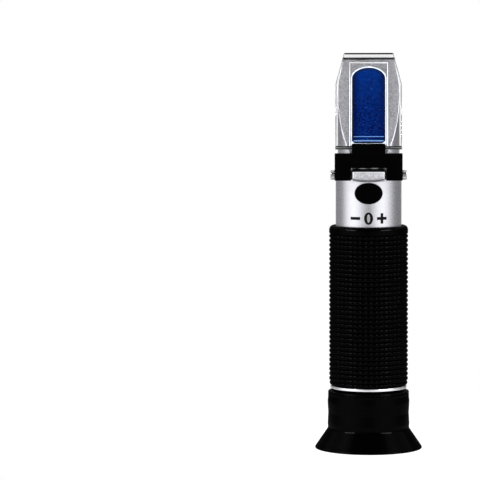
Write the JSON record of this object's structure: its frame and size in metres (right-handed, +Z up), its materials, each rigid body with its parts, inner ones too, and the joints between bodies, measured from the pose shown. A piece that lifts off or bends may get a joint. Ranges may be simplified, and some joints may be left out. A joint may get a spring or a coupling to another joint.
{
  "type": "handheld refractometer",
  "caption": "Handheld refractometer with a hinged clear plate over a slanted blue prism, a calibration screw under a plug, and a focusing eyepiece.",
  "frame": {"origin": "middle of the eyecup's rim, on the surface that the instrument stands on", "axes": "+Z up the optical axis from the eyepiece to the prism, -Y towards the side of the daylight plate, +X along the hinge pin"},
  "size_m": [0.0426, 0.0426, 0.1574],
  "materials": {
    "plated_metal": "satin plated, fine matt texture",
    "tube_metal": "turned",
    "black_metal": "black anodised",
    "steel": "turned",
    "brass": "turned",
    "bimetal": "rolled",
    "black_rubber": "moulded",
    "black_plastic": "moulded",
    "nylon": "moulded",
    "clear_acrylic": "clear, polished",
    "prism_glass": "blue, polished",
    "lens_glass": "polished",
    "seam_cement": "smooth"
  },
  "bodies": {
    "housing_body": {"front_housing": "plated_metal", "main_tube": "tube_metal", "rubber_grip": "black_rubber", "tube_end_ring": "plated_metal", "prism": "prism_glass", "prism_seal": "seam_cement", "hinge_pin": "steel", "hinge_pin_cap": "steel", "hinge_washers": "nylon", "housing_o_ring": "black_rubber", "carrier_ring": "black_metal", "bimetal_strip": "bimetal", "strip_screws": "steel", "baffle_rings": "black_metal", "reticle_holder": "black_metal", "reticle": "lens_glass", "reticle_ring": "black_metal", "guide_screw": "steel"},
    "plate_body": {"daylight_plate": "clear_acrylic", "hinge_bracket": "black_plastic", "plate_screws": "steel"},
    "plug_body": {"calibration_plug": "black_rubber"},
    "carrier_body": {"lens_carrier": "black_metal", "objective_lens": "lens_glass", "objective_ring": "black_metal"},
    "screw_body": {"calibration_screw": "brass"},
    "lens_cell_body": {"lens_cell": "black_metal", "cell_clip": "steel", "eye_lens_ring": "black_metal", "eye_lens": "lens_glass", "lens_spacer": "black_metal", "field_lens": "lens_glass"},
    "eyepiece_body": {"focus_barrel": "black_metal", "focus_o_ring": "black_rubber", "eyecup": "black_rubber"}
  },
  "joints": [
    {"name": "daylight_plate_hinge", "type": "hinge", "parent": "housing_body", "child": "plate_body", "pos_m": [0, -0.0145, 0.1099], "axis": [1, 0, 0], "range_deg": [0, 95]},
    {"name": "plug_pull", "type": "slide", "parent": "housing_body", "child": "plug_body", "axis": [0, -1, 0], "range_m": [0, 0.008]},
    {"name": "carrier_shift", "type": "slide", "parent": "housing_body", "child": "carrier_body", "axis": [0, 1, 0], "range_m": [-0.00025, 0.00025]},
    {"name": "calibration_turn", "type": "hinge", "parent": "carrier_body", "child": "screw_body", "pos_m": [0, -0.0106, 0.10247], "axis": [0, 1, 0], "range_deg": [-180.5, 180.5]},
    {"name": "focus_slide", "type": "slide", "parent": "housing_body", "child": "lens_cell_body", "axis": [0, 0, -1], "range_m": [-0.00041, 0.00301]},
    {"name": "eyepiece_turn", "type": "hinge", "parent": "lens_cell_body", "child": "eyepiece_body", "pos_m": [0, 0, 0], "axis": [0, 0, -1], "range_deg": [-36, 270]}
  ],
  "couplings": [
    {"joint": "focus_slide", "follows": "eyepiece_turn", "m_per_rad": 0.00063662},
    {"joint": "calibration_turn", "follows": "carrier_shift", "rad_per_m": 12566}
  ]
}
